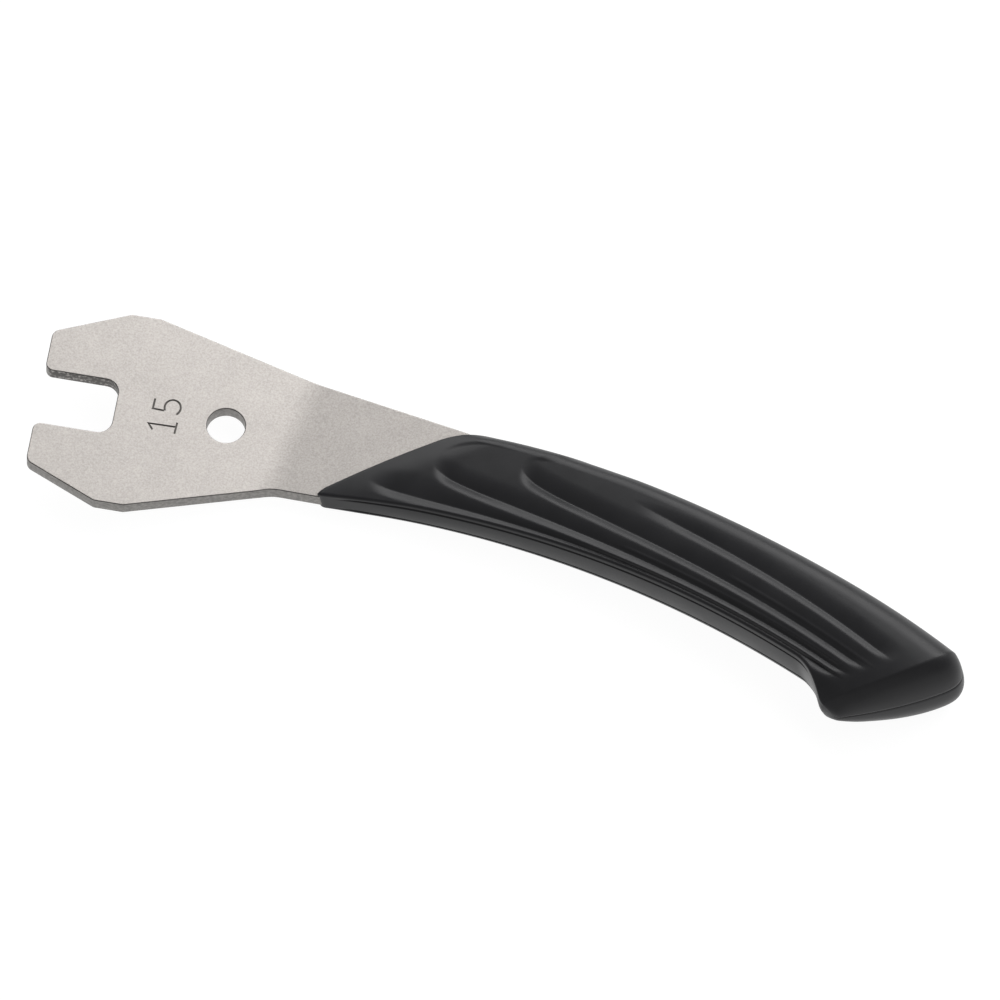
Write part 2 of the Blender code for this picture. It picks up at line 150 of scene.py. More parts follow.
# Grip: the near wall's height, its rounded top edge, and how far it leans in behind the mouth
WALL_FRONT = 3.4
WALL_BACK = 6.8
WALL_POWER = 1.15
WALL_FILLET = 0.7
WALL_BOW = 0.35
BOW_START = 16.0
BOW_OPEN = 40.0
SLOPE_FROM = 0.5
SLOPE_TO = 1.0

# Grip: the radius of the far side
ROUND_START = 44.0
ROUND_OPEN = 60.0
ROUND_MOUTH = 1.0
ROUND_FRONT = 3.2
ROUND_BUTT = 7.0

# Grip mesh: rows along the grip, and columns from the near parting line to the far one
GRIP_LENGTH = 155.0
EDGE_STEPS = 8
STATIONS = 230
WALL_STEPS = 17
FILLET_STEPS = 6
NEAR_STEPS = 20
LOBE_STEPS = 28
LOBE_CROWDING = 0.12
FAR_STEPS = 22
ROUND_STEPS = 14
VALLEY_SPACE = 0.4
SOLVE_STEPS = 40

# Levels of the mesh up a wall, 0 at the parting line and 1 at the top, close together at the parting line
LEVELS = np.concatenate([
    [0.0, PARTING_HALF / 2, PARTING_HALF],
    np.sin(math.pi / 2 * np.linspace(2 * PARTING_HALF, 1.0, WALL_STEPS - 2)),
])

# Steel colours
STEEL_DARK = (0.33, 0.311, 0.295)
STEEL_LIGHT = (0.44, 0.416, 0.395)
STEEL_CUT_DARK = (0.185, 0.178, 0.17)
STEEL_CUT_LIGHT = (0.275, 0.265, 0.253)
# The jaw's pair: painted shade on the jaw's walls, and painted glints standing in for their real
# machining marks
STEEL_JAW_PAINTED_SHADE = (0.095, 0.09, 0.086)
STEEL_JAW_PAINTED_GLINT = (0.36, 0.345, 0.33)
# Painted shade on the rounded edges where they turn upwards
STEEL_EDGE_PAINTED_SHADE = (0.07, 0.068, 0.066)
STEEL_NUMBER = (0.085, 0.08, 0.075)

# Steel: sizes of its patterns, the part of the noise that each colour pair spans, and its roughness
STEEL_GRAIN = 0.47
STEEL_GRAIN_ROUGHNESS = 0.65
STEEL_GRAIN_SHARE = 0.85
STEEL_CLOUD = 7.0
STEEL_MOTTLE = 0.9
FACE_SPAN = (0.36, 0.64)
SAWN_SPAN = (0.35, 0.65)
# Share of the noise over which the jaw's painted shade is mottled with painted glints
JAW_SHADE_GLINT_SPAN = (0.5, 0.68)
NOISE_SPAN = (0.3, 0.7)
STEEL_ROUGHNESS = (0.4, 0.5)
STEEL_BUMP = 0.012
BUMP_STRENGTH = 0.5

# Steel: how upright the flat faces are and the edge faces that take painted shade, and where the jaw's
# painted shade and glints lie and end
FLAT_SPAN = (0.8, 0.96)
EDGE_SHADE_SPAN = (0.25, 0.5)
JAW_BESIDE = (JAW_HALF + 0.1, JAW_HALF + 0.4)
JAW_PAST = 2.0
JAW_FADE = 0.5

# Plastic colours, sizes of its patterns, and its roughness
PLASTIC_DARK = (0.009, 0.009, 0.0102)
PLASTIC_LIGHT = (0.014, 0.014, 0.0155)
PLASTIC_GRAIN = 0.25
PLASTIC_CLOUD = 9.0
PLASTIC_ROUGHNESS = (0.33, 0.41)
PLASTIC_BUMP = 0.006

# Shading: the angle in degrees above which an edge is sharp, and how upright the blade's flat faces are
BLADE_SHARP = 30.0
BLADE_FLAT = 0.97
GRIP_SHARP = 40.0

# Engraved strokes: their width, its share at the foot and at the top, and their depth
STROKE = 0.6
STROKE_FOOT = 0.8
STROKE_TOP = 1.15
STROKE_ABOVE = 1.0
ENGRAVED = 0.22

# Engraved strokes: the shares of their depth between which they are dark, how level their foot is, and
# a place on the head that gives its slope
ENGRAVED_START = (0.1, 0.4)
ENGRAVED_END = (1.2, 1.5)
ENGRAVED_LEVEL = (0.94, 0.97)
HEAD_SAMPLE = -30.0

# Bowl of the 5 in the head's own (u, v)
DIGIT_BOWL = (-30.95, 2.55)
DIGIT_BOWL_RADII = (2.03, 2.2)
DIGIT_BOWL_ANGLES = (-30.0, 232.0)
DIGIT_BOWL_STEPS = 24

# Floor, in metres
FLOOR_SIZE = 30.0
FLOOR_DROP = 0.0002
FLOOR_COLOUR = (0.075, 0.075, 0.075, 1.0)
FLOOR_ROUGHNESS = 0.8
FLOOR_GLOW = 0.95
WHITE = (1.0, 1.0, 1.0, 1.0)

# Softboxes: the name, the direction from the tool, the distance, the width and height, and the radiance
SOFTBOXES = [
    ("low_back_softbox", (0.1, 0.80, 0.6), 1.2, (2.4, 0.78), 3.4),
    ("high_back_softbox", (0.33, 0.42, 0.85), 1.2, (1.6, 0.64), 2.0),
    ("front_softbox", (0.1, -0.95, 0.3), 1.4, (1.6, 0.5), 0.25),
]
ROOM_LIGHT = 0.38

# Camera: its right and up in the handle frame, and the point it looks at, in millimetres along the two
VIEW_RIGHT = (0.923, 0.353, -0.1516)
VIEW_UP = (-0.226, 0.822, 0.522)
VIEW_MIDDLE = (51.95, -14.95)

# Camera: its distance and the width of its view in metres, its sensor's width, and its clipping distances
VIEW_DISTANCE = 10.0
VIEW_SPAN = 0.2503
VIEW_SENSOR = 36.0
VIEW_CLIP = (0.1, 100.0)


class Flute:
    """One crescent-nosed flute: its valley line, far brim, depth and width, and how it starts."""

    def __init__(self, nose, run_out, reach, power, brim, depth, width, ramp, step):
        self.nose_s, self.nose_n = nose
        self.run_out = run_out
        self.reach = reach
        self.power = power
        self.brim_n = brim
        self.depth = depth
        self.width = width
        self.ramp = ramp
        self.step = step

    def valley(self, s):
        """n of the valley line: a quarter superellipse that starts across the grip and ends along it."""
        left = np.clip((self.nose_s + self.reach - s) / self.reach, 0.0, 1.0)
        fall = (1.0 - left**self.power) ** (1.0 / self.power)
        return self.nose_n - (self.nose_n - self.run_out) * fall

    def brim(self, s):
        """n of the crescent edge on the flute's far side."""
        left = np.clip((self.nose_s + CRESCENT - s) / CRESCENT, 0.0, 1.0)
        return self.nose_n + (self.brim_n - self.nose_n) * np.sqrt(1.0 - left**2)


FLUTES = [
    Flute(nose=(23.0, -4.9), run_out=-11.1, reach=149.0, power=2.9, brim=-1.2,
          depth=0.85, width=6.5, ramp=8.0, step=0.0),
    Flute(nose=(38.5, 1.9), run_out=-9.2, reach=111.0, power=2.12, brim=10.8,
          depth=0.9, width=4.8, ramp=6.0, step=0.22),
    Flute(nose=(60.5, 7.0), run_out=-5.8, reach=154.0, power=2.49, brim=11.0,
          depth=1.0, width=5.0, ramp=5.0, step=0.22),
    Flute(nose=(91.0, 5.7), run_out=-2.5, reach=180.0, power=1.41, brim=7.2,
          depth=0.8, width=4.5, ramp=20.0, step=0.0),
]

# What the flutes share: the crescent, the step at its edge, the rounded valley, the flanks and the fade
CRESCENT = 14.0
STEP_WIDTH = 1.5
STEP_REACH = 12.0
VALLEY_RADIUS = 0.25
FLUTE_LEAST_WIDTH = 0.5
FLANK_NOSE = 2.5
FLANK_BUTT = 1.8
FLANK_START = 60.0
FLANK_END = 150.0
RISE_POWER = 2.0
FALL_POWER = 1.5
FLUTE_END_SPACE = 8.0
FLUTE_END_FADE = 8.0

# Fine ribs beside two of the valleys: the flute, how far above its valley, and where the rib starts
# and ends
RIBS = [(1, 1.0, 92.0, 171.0), (2, 1.35, 122.0, 175.0)]
RIB_HEIGHT = 0.2
RIB_HALF = 0.55
RIB_FADE = 8.0

# Groove along the near wall, below its top edge
GROOVE_START = 15.0
GROOVE_END = 160.0
GROOVE_DROP_START = 0.65
GROOVE_DROP_END = 1.35
GROOVE_HALF = 0.42
GROOVE_DEPTH = 0.4
GROOVE_ROWS = 8
GROOVE_SPREAD = 1.3


def smooth(x):
    """0 to 1 with level ends, as x goes from 0 to 1."""
    x = np.clip(x, 0.0, 1.0)
    return x * x * (3.0 - 2.0 * x)


def plan(s, n):
    """(p, q) of a point given along and across the grip's centre arc."""
    turn = (np.asarray(s) - ARC_START) / ARC_RADIUS
    radius = ARC_RADIUS + np.asarray(n)
    return ARC_START + radius * np.sin(turn), radius * np.cos(turn) - ARC_RADIUS


def mouth_line(n):
    """s of the grip's slanted mouth: a straight line that curves into the far edge."""
    n = np.asarray(n, dtype=float)
    arc_start = MOUTH_FAR - MOUTH_ARC_RADIUS * (1.0 - math.cos(MOUTH_LEAN))
    straight = MOUTH_START + (n - NEAR_WALL) / math.tan(MOUTH_LEAN)
    tip = MOUTH_TIP_SETBACK * (1.0 - np.clip((n - NEAR_WALL) / MOUTH_TIP_REACH, 0.0, 1.0)) ** 2
    arc_end = MOUTH_START + (arc_start - NEAR_WALL) / math.tan(MOUTH_LEAN)
    arc_end += MOUTH_ARC_RADIUS * math.sin(MOUTH_LEAN)
    height = np.clip(MOUTH_ARC_RADIUS - (MOUTH_FAR - n), 0.0, MOUTH_ARC_RADIUS)
    arc = arc_end - np.sqrt(MOUTH_ARC_RADIUS**2 - height**2)
    return np.where(n < arc_start, straight + tip, arc)


def end_line(n):
    """s of the edge round the end face: slanted, bowed outwards, and bowed more near the far side."""
    across = np.asarray(n, dtype=float) - END_MIDDLE[1]
    bow = END_BOW * across**2 + END_CORNER_BOW * np.maximum(across - END_CORNER_START, 0.0) ** 2
    return END_MIDDLE[0] + END_SLANT * across - bow


def near_line(s):
    """n of the near side: the straight wall, then the hook, which turns along the grip at its tip."""
    flare = HOOK_DEPTH * (np.maximum(np.asarray(s) - HOOK_START, 0.0) / HOOK_LENGTH) ** HOOK_POWER
    turned = HOOK_TURN + HOOK_TIP_RADIUS * np.tanh((flare - HOOK_TURN) / HOOK_TIP_RADIUS)
    return NEAR_WALL - np.where(flare < HOOK_TURN, flare, turned)


def far_line(s):
    """n of the far side, which swells a little behind the mouth and at the butt."""
    turn = 2.0 * math.pi * (np.asarray(s) - FAR_SWELL_PEAK) / FAR_SWELL_PERIOD
    return FAR_MEAN + FAR_SWELL * np.cos(turn)


def crown_height(s):
    """Height of the grip's crown line above the plate's middle."""
    rise = CROWN_BUTT - CROWN_FRONT
    length = END_MIDDLE[0] - CROWN_START
    return CROWN_FRONT + rise * (np.asarray(s) - CROWN_START) / length


def wall_height(s):
    """Height of the near wall above the plate's middle."""
    share = np.clip((np.asarray(s) - MOUTH_START) / (HOOK_START - MOUTH_START), 0.0, 1.0)
    return WALL_FRONT + (WALL_BACK - WALL_FRONT) * np.sin(share * math.pi / 2) ** WALL_POWER


def far_radius(s):
    """Radius that rounds the far side into the crown: small by the mouth, then growing to the butt."""
    opening = smooth((s - ROUND_START) / (ROUND_OPEN - ROUND_START))
    growth = np.clip((s - CROWN_START) / (END_MIDDLE[0] - CROWN_START), 0.0, 1.0)
    return ROUND_MOUTH + (ROUND_FRONT - ROUND_MOUTH) * opening + (ROUND_BUTT - ROUND_FRONT) * growth


def flank(s):
    """Width of the near side of a valley, which narrows towards the butt."""
    share = np.clip((s - FLANK_START) / (FLANK_END - FLANK_START), 0.0, 1.0)
    return FLANK_NOSE + (FLANK_BUTT - FLANK_NOSE) * share


def flute_depth(s, n):
    """How far the flutes cut into the crown at (s, n)."""
    total = np.zeros(np.broadcast(s, n).shape)
    end = 1.0 - smooth((s - end_line(n) + FLUTE_END_SPACE) / FLUTE_END_FADE + 0.5)
    for place, flute in enumerate(FLUTES):
        valley = flute.valley(s)
        brim = flute.brim(s)
        crescent = smooth((brim - n) / STEP_WIDTH)
        if place + 1 < len(FLUTES):
            after = FLUTES[place + 1]
            crest = after.valley(s) - flank(s)
            brim = brim + (crest - brim) * smooth((s - after.nose_s + CRESCENT / 2) / CRESCENT)
        away = np.sqrt((n - valley) ** 2 + VALLEY_RADIUS**2) - VALLEY_RADIUS
        width = np.clip(brim - valley, FLUTE_LEAST_WIDTH, flute.width)
        rise = (1.0 - np.clip(away / width, 0.0, 1.0)) ** RISE_POWER
        fall = (1.0 - np.clip(away / flank(s), 0.0, 1.0)) ** FALL_POWER
        ramp = smooth((s - flute.nose_s) / flute.ramp)
        step = flute.step * (1.0 - smooth((s - flute.nose_s - STEP_REACH) / STEP_REACH))
        inside = flute.depth * rise + step * crescent
        outside = (flute.depth + step) * fall
        total = total + ramp * end * np.where(n > valley, inside, outside)
    return total


def rib_height(s, n):
    """How far the fine ribs stand up at (s, n)."""
    total = np.zeros(np.broadcast(s, n).shape)
    for place, above, start, finish in RIBS:
        away = np.clip(np.abs(n - FLUTES[place].valley(s) - above) / RIB_HALF, 0.0, 1.0)
        along = smooth((s - start) / RIB_FADE) * smooth((finish - s) / RIB_FADE)
        total = total + RIB_HEIGHT * along * smooth(1.0 - away)
    return total


def crown(s, n):
    """Height of the fluted top surface above the plate's middle."""
    top = crown_height(s)
    drop = (top - wall_height(s)) * ((CROWN_LINE - n) / (CROWN_LINE - NEAR_WALL)) ** 2
    hook = HOOK_FALL * (np.maximum(NEAR_WALL - n, 0.0) / HOOK_TURN) ** 2
    body = top - drop - hook
    rise = np.sin(np.clip((s - mouth_line(n)) / MOUTH_RISE, 0.0, 1.0) * math.pi / 2)
    return MOUTH_RIM + (body - MOUTH_RIM) * rise - flute_depth(s, n) + rib_height(s, n)


def sections(share, drop):
    """Half-sections from the near parting line over the crown to the far one, as arrays of s, n and h.

    share goes from 0 at the mouth to 1 at the butt's edge, and drop moves a section inwards, which
    rounds the mouth's edge. Each row of the arrays is one section.
    """
    share = np.asarray(share, dtype=float)[:, None]
    drop = np.asarray(drop, dtype=float)[:, None]

    def s_at(n):
        return (1.0 - share) * mouth_line(n) + share * end_line(n)

    near = np.full_like(share, NEAR_WALL)
    far = np.full_like(share, FAR_MEAN)
    for _ in range(SOLVE_STEPS):
        near = near + 0.5 * (near_line(s_at(near)) - near)
        far = far + 0.5 * (far_line(s_at(far)) - far)
    rise = crown(s_at(near), near + SLOPE_TO) - crown(s_at(near), near + SLOPE_FROM)
    slope = rise / (SLOPE_TO - SLOPE_FROM)
    sweep = math.pi / 2 - np.arctan(np.maximum(slope, 0.0))
    lift = WALL_FILLET * np.sin(sweep)
    bow = WALL_BOW * smooth((s_at(near) - BOW_START) / (BOW_OPEN - BOW_START))
    leant = near + bow
    fillet_n = leant + WALL_FILLET * (1.0 - np.cos(sweep))
    wall_top = crown(s_at(fillet_n), fillet_n) - lift
    radius = far_radius(s_at(far))
    round_n = far - radius
    side_top = crown(s_at(round_n), round_n) - radius

    parts = []
    last = fillet_n
    even = np.linspace(0.0, 1.0, LOBE_STEPS + 1)[None, 1:]
    crowded = even - LOBE_CROWDING * np.sin(2.0 * math.pi * even)
    for flute in FLUTES:
        low, high = last + VALLEY_SPACE, round_n
        for _ in range(SOLVE_STEPS):
            middle = (low + high) / 2
            below = flute.valley(s_at(middle)) > middle
            low, high = np.where(below, middle, low), np.where(below, high, middle)
        places = crowded if parts else np.linspace(0.0, 1.0, NEAR_STEPS + 1)[None, 1:]
        parts.append(last + (high - last) * places)
        last = high
    parts.append(last + (round_n - last) * np.linspace(0.0, 1.0, FAR_STEPS + 1)[None, 1:])
    across = np.concatenate(parts, axis=1)

    wall = LEVELS[None, :]
    along = np.clip((s_at(near) - GROOVE_START) / (GROOVE_END - GROOVE_START), 0.0, 1.0)
    groove = wall_top - GROOVE_DROP_START - (GROOVE_DROP_END - GROOVE_DROP_START) * along
    reach = GROOVE_SPREAD * GROOVE_HALF
    below = (groove - reach) * np.linspace(0.0, 1.0, WALL_STEPS - GROOVE_ROWS + 1)[None, :-1]
    beside = groove + reach * np.linspace(-1.0, 1.0, GROOVE_ROWS)[None, :]
    near_h = np.concatenate([below, beside, wall_top], axis=1)
    fade = smooth((s_at(near) - GROOVE_START) / RIB_FADE) * smooth((GROOVE_END - s_at(near)) / RIB_FADE)
    groove_in = GROOVE_DEPTH * fade * smooth(1.0 - np.abs(near_h - groove) / GROOVE_HALF)
    fillet = sweep * np.linspace(0.0, 1.0, FILLET_STEPS + 1)[None, 1:]
    turn = math.pi / 2 * np.linspace(0.0, 1.0, ROUND_STEPS + 1)[None, 1:] + 0.0 * share
    still = np.ones_like(wall)
    parts = [
        (near + groove_in + bow * (near_h / wall_top) ** 2, near_h, still, 0.0 * still),
        (leant + WALL_FILLET * (1.0 - np.cos(fillet)), wall_top + WALL_FILLET * np.sin(fillet),
         np.cos(fillet), -np.sin(fillet)),
        (across, crown(s_at(across), across), 0.0 * across, 0.0 * across - 1.0),
        (round_n + radius * np.sin(turn), side_top + radius * np.cos(turn),
         -np.sin(turn), -np.cos(turn)),
        (far + 0.0 * wall[:, 1:], side_top * wall[:, -2::-1], -still[:, 1:], 0.0 * still[:, 1:]),
    ]

    def joined(values):
        sized = [np.broadcast_to(value, (len(share), value.shape[1])) for value in values]
        return np.concatenate(sized, axis=1)

    n, h, inward_n, inward_h = (joined(values) for values in zip(*parts))
    return s_at(n), n + drop * inward_n, np.maximum(h + drop * inward_h, 0.0)


def shares():
    """Where the sections stand, each with its drop, closer together at the mouth's rounded edge."""
    mouth_edge = MOUTH_EDGE / math.sin(MOUTH_LEAN) / GRIP_LENGTH
    rows = []
    for step in range(EDGE_STEPS):
        turn = math.pi / 2 * step / EDGE_STEPS
        rows.append((mouth_edge * (1.0 - math.cos(turn)), MOUTH_EDGE * (1.0 - math.sin(turn))))
    for share in np.linspace(mouth_edge, 1.0, STATIONS):
        rows.append((float(share), 0.0))
    return rows


def end_bulge(n, level):
    """How far the end face stands out past its edge; level is 0 at the parting line, 1 at the edge."""
    far = np.clip((far_line(end_line(n)) - n) / BUTT_CORNER, 0.0, 1.0)
    near = np.clip((n - near_line(end_line(n))) / HOOK_TIP_RADIUS, 0.0, 1.0)
    corner = np.sqrt(1.0 - (1.0 - far) ** 2) * np.sqrt(1.0 - (1.0 - near) ** 2)
    parting = PARTING_DEPTH * smooth(1.0 - np.abs(level) / PARTING_HALF)
    return (BUTT_BULGE * (1.0 - np.abs(level) ** BUTT_POWER) ** BUTT_FALL - parting) * corner


def flat_mouth(n, level):
    """The mouth's face stands straight under its edge all along."""
    return 0.0 * n


def head_point(u, v):
    """(p, q) of a point on the flat blank given along and across the jaw's axis."""
    cosine, sine = math.cos(HEAD_TURN), math.sin(HEAD_TURN)
    return u * cosine - v * sine, u * sine + v * cosine


def filleted(corners):
    """A closed outline through (point, radius) corners, each rounded by an arc."""
    outline = []
    for index, (corner, radius) in enumerate(corners):
        here = Vector(corner)
        to_last = (Vector(corners[index - 1][0]) - here).normalized()
        to_next = (Vector(corners[(index + 1) % len(corners)][0]) - here).normalized()
        half = to_last.angle(to_next) / 2
        if radius == 0.0:
            outline.append(here)
            continue
        centre = here + (to_last + to_next).normalized() * (radius / math.sin(half))
        start = here + to_last * (radius / math.tan(half)) - centre
        turn = start.angle_signed(here + to_next * (radius / math.tan(half)) - centre)
        steps = max(2, round(abs(turn) / ARC_STEP))
        for step in range(steps + 1):
            outline.append(centre + Matrix.Rotation(-turn * step / steps, 2) @ start)
    return outline


def grown(outline, distance):
    """The outline moved outwards by a distance; it runs clockwise seen from above."""
    moved = []
    for index, here in enumerate(outline):
        before = (here - outline[index - 1]).normalized()
        after = (outline[(index + 1) % len(outline)] - here).normalized()
        normal_before = Vector((-before.y, before.x))
        normal_after = Vector((-after.y, after.x))
        mitre = (normal_before + normal_after).normalized()
        moved.append(here + mitre * (distance / max(mitre.dot(normal_before), MITRE_LIMIT)))
    return moved


def blank_outline():
    """The blade's outline before bending, clockwise seen from above, tang included."""

    def on_grip(s, n):
        p, q = plan(s, n)
        return float(p), float(q)

    head = [
        (SIDE_END, -SIDE_HALF, SIDE_FILLET),
        (SHOULDER, -SIDE_HALF, SIDE_FILLET),
        (TIP, -TIP_HALF, TIP_FILLET),
        (TIP, -JAW_HALF, SIDE_FILLET),
        (JAW_BOTTOM, -JAW_HALF, JAW_CORNER),
        (JAW_BOTTOM, JAW_HALF, JAW_CORNER),
        (TIP, JAW_HALF, SIDE_FILLET),
        (TIP, TIP_HALF, TIP_FILLET),
        (SHOULDER, SIDE_HALF, SIDE_FILLET),
        (SIDE_END, SIDE_HALF, SIDE_FILLET),
    ]
    corners = [(NECK_FAR_END, NECK_END_FILLET), (on_grip(*SHOULDER_FAR), SHOULDER_FILLET)]
    corners += [(on_grip(s, half), 0.0) for s, half in TANG]
    corners += [(on_grip(s, -half), 0.0) for s, half in reversed(TANG)]
    corners += [(on_grip(*SHOULDER_NEAR), SHOULDER_FILLET)]
    corners += [(NECK_NEAR_END, NECK_END_FILLET / 2), (NECK_CORNER, NECK_FILLET)]
    corners += [(head_point(u, v), radius) for u, v, radius in head]
    return filleted(corners)


def blank_mesh(name, growth, edge_radius, with_hole):
    """The flat blank as a closed mesh: its outline grown, raised through the plate, its edges round."""
    shape = bmesh.new()
    half = PLATE / 2 + growth
    outlines = [grown(blank_outline(), growth)]
    if with_hole:
        centre = Vector(head_point(*HOLE_CENTRE))
        spokes = [math.radians(360.0 / HOLE_SPOKES) * step for step in range(HOLE_SPOKES)]
        rays = [Vector((math.cos(turn), math.sin(turn))) for turn in spokes]
        outlines.append([centre + HOLE_RADIUS * ray for ray in rays])
    turns = [0.0]
    if edge_radius:
        turns = [math.pi / 2 * step / EDGE_CUTS for step in range(EDGE_CUTS + 1)]
    levels = [(-half + edge_radius * (1.0 - math.sin(turn)), edge_radius * (1.0 - math.cos(turn)))
              for turn in reversed(turns)]
    levels += [(-h, inset) for h, inset in reversed(levels)]
    rims = {levels[0][0]: [], levels[-1][0]: []}
    for outline in outlines:
        last = None
        for h, inset in levels:
            row = [shape.verts.new((point.x, point.y, h)) for point in grown(outline, -inset)]
            if last:
                for index in range(len(row)):
                    after = (index + 1) % len(row)
                    shape.faces.new((last[index], last[after], row[after], row[index]))
            if h in rims:
                rims[h] += row
            last = row
    for rim in rims.values():
        members = set(rim)
        edges = [edge for edge in shape.edges if edge.verts[0] in members and edge.verts[1] in members]
        bmesh.ops.triangle_fill(shape, use_beauty=True, use_dissolve=False, edges=edges)
    bmesh.ops.recalc_face_normals(shape, faces=shape.faces)
    mesh = bpy.data.meshes.new(name)
    shape.to_mesh(mesh)
    shape.free()
    return mesh


def bent(point):
    """Where a point of the flat blank goes when the head is bent up across the neck."""
    arc = BEND_RADIUS * BEND_ANGLE
    start = arc / 2
    past = start - point.x
    if past <= 0.0:
        return point
    turn = min(past / arc, 1.0) * BEND_ANGLE
    straight = max(past - arc, 0.0)
    radius = BEND_RADIUS - point.z
    x = start - radius * math.sin(turn) - straight * math.cos(turn)
    z = BEND_RADIUS - radius * math.cos(turn) + straight * math.sin(turn)
    return Vector((x, point.y, z))


def add_object(name, mesh):
    """Links a mesh as an object."""
    made = bpy.data.objects.new(name, mesh)
    bpy.context.scene.collection.objects.link(made)
    return made


def cut_by(piece, cutters):
    """Takes the cutters out of a piece and removes them."""
    for cutter in cutters:
        cut = piece.modifiers.new("cut", "BOOLEAN")
        cut.operation = "DIFFERENCE"
        cut.solver = "EXACT"
        cut.object = cutter
    bpy.context.view_layer.update()
    graph = bpy.context.evaluated_depsgraph_get()
    mesh = bpy.data.meshes.new_from_object(piece.evaluated_get(graph))
    piece.modifiers.clear()
    piece.data = mesh
    for cutter in cutters:
        bpy.data.objects.remove(cutter, do_unlink=True)


def stroke_cutter(points):
    """A closed bar along a polyline of the head's (u, v), deep enough to engrave the plate's top."""
    places = [Vector(head_point(*point)) for point in points]
    low, high = PLATE / 2 - ENGRAVED, PLATE / 2 + STROKE_ABOVE
    section = [(-STROKE_FOOT, low), (-STROKE_TOP, high), (STROKE_TOP, high), (STROKE_FOOT, low)]
    shape = bmesh.new()
    rows = []
    for index, here in enumerate(places):
        before = (here - places[index - 1]).normalized() if index else (places[1] - here).normalized()
        after = (places[index + 1] - here).normalized() if index + 1 < len(places) else before
        side = Vector((-before.y - after.y, before.x + after.x)).normalized()
        side *= STROKE / 2 / max(side.dot(Vector((-before.y, before.x))), MITRE_LIMIT)
        rows.append([shape.verts.new((*(here + side * share), h)) for share, h in section])
    for row, after in zip(rows, rows[1:]):
        for index in range(len(section)):
            step = (index + 1) % len(section)
            shape.faces.new((row[index], row[step], after[step], after[index]))
    shape.faces.new(rows[0])
    shape.faces.new(rows[-1])
    bmesh.ops.recalc_face_normals(shape, faces=shape.faces)
    mesh = bpy.data.meshes.new("stroke")
    shape.to_mesh(mesh)
    shape.free()
    return add_object("stroke", mesh)


def number_strokes():
    """The jaw's size, 15, as strokes of the head's (u, v): the 1, its foot, the 5's top and its bowl."""
    middle_u, middle_v = DIGIT_BOWL
    radius_u, radius_v = DIGIT_BOWL_RADII
    start, finish = DIGIT_BOWL_ANGLES
    bowl = []
    for step in range(DIGIT_BOWL_STEPS + 1):
        turn = math.radians(start + (finish - start) * step / DIGIT_BOWL_STEPS)
        bowl.append((middle_u - radius_u * math.cos(turn), middle_v + radius_v * math.sin(turn)))
    return [
        [(-34.84, -4.45), (-36.1, -2.82), (-29.1, -2.7)],
        [(-29.05, -1.4), (-29.2, -4.65)],
        [(-35.7, 4.4), (-35.8, 1.5), (-32.9, 1.38)],
        bowl,
    ]


def build_blade():
    """The bent steel blade, with the jaw's size engraved in its top."""
    mesh = blank_mesh("steel_blade", 0.0, EDGE_RADIUS, True)
    blade = add_object("steel_blade", mesh)
    cut_by(blade, [stroke_cutter(points) for points in number_strokes()])
    shape = bmesh.new()
    shape.from_mesh(blade.data)
    arc = BEND_RADIUS * BEND_ANGLE
    for cut in range(BEND_CUTS):
        place = arc * (0.5 - cut / (BEND_CUTS - 1))
        bmesh.ops.bisect_plane(shape, geom=shape.verts[:] + shape.edges[:] + shape.faces[:],
                               plane_co=(place, 0, 0), plane_no=(1, 0, 0), dist=1e-5)
    bmesh.ops.triangulate(shape, faces=[face for face in shape.faces if len(face.verts) > 4])
    for vert in shape.verts:
        vert.co = bent(vert.co) * MM
    shape.to_mesh(blade.data)
    shape.free()
    return blade


def build_grip():
    """The moulded grip: a closed skin of sections on both sides of the plate, hollowed for the tang."""
    places = shares()
    s, n, h = sections([place[0] for place in places], [place[1] for place in places])
    rows, columns = s.shape
    p, q = plan(s, n)
    upper = np.arange(rows * columns).reshape(rows, columns)
    points = [np.stack([p, q, h], axis=-1).reshape(-1, 3)]
    inner = np.arange(rows * (columns - 2)).reshape(rows, columns - 2) + upper.size
    lower = np.concatenate([upper[:, :1], inner, upper[:, -1:]], axis=1)
    points.append(np.stack([p, q, -h], axis=-1)[:, 1:-1].reshape(-1, 3))
    count = upper.size + inner.size
    faces = []

    def grid(table):
        corners = [table[:-1, :-1], table[:-1, 1:], table[1:, 1:], table[1:, :-1]]
        faces.append(np.stack(corners, axis=-1).reshape(-1, 4))

    grid(upper)
    grid(lower)
    for place, bulge in ((0, flat_mouth), (rows - 1, end_bulge)):
        first, last = WALL_STEPS, columns - 1 - WALL_STEPS
        levels = np.concatenate([LEVELS[::-1], -LEVELS[1:]])
        middle = levels[1:-1][:, None]
        span = slice(first + 1, last)
        edge_s, edge_n, edge_h = s[place, span], n[place, span], h[place, span]
        cap_p, cap_q = plan(edge_s + bulge(edge_n, middle), edge_n + 0.0 * middle)
        points.append(np.stack([cap_p, cap_q, edge_h * middle], axis=-1).reshape(-1, 3))
        fresh = np.arange(middle.size * edge_n.size).reshape(middle.size, edge_n.size) + count
        count += fresh.size
        body = np.concatenate([upper[place, span][None], fresh, lower[place, span][None]], axis=0)
        near = np.concatenate([upper[place, first::-1], lower[place, 1:first + 1]])
        far = np.concatenate([upper[place, last:], lower[place, last:-1][::-1]])
        grid(np.concatenate([near[:, None], body, far[:, None]], axis=1))

    mesh = bpy.data.meshes.new("plastic_grip")
    mesh.from_pydata((np.concatenate(points) * MM).tolist(), [], np.concatenate(faces).tolist())
    shape = bmesh.new()
    shape.from_mesh(mesh)
    bmesh.ops.recalc_face_normals(shape, faces=shape.faces)
    shape.to_mesh(mesh)
    shape.free()
    grip = add_object("plastic_grip", mesh)
    pocket_mesh = blank_mesh("tang_pocket", CLEARANCE, 0.0, False)
    pocket_mesh.transform(Matrix.Scale(MM, 4))
    cut_by(grip, [add_object("tang_pocket", pocket_mesh)])
    return grip


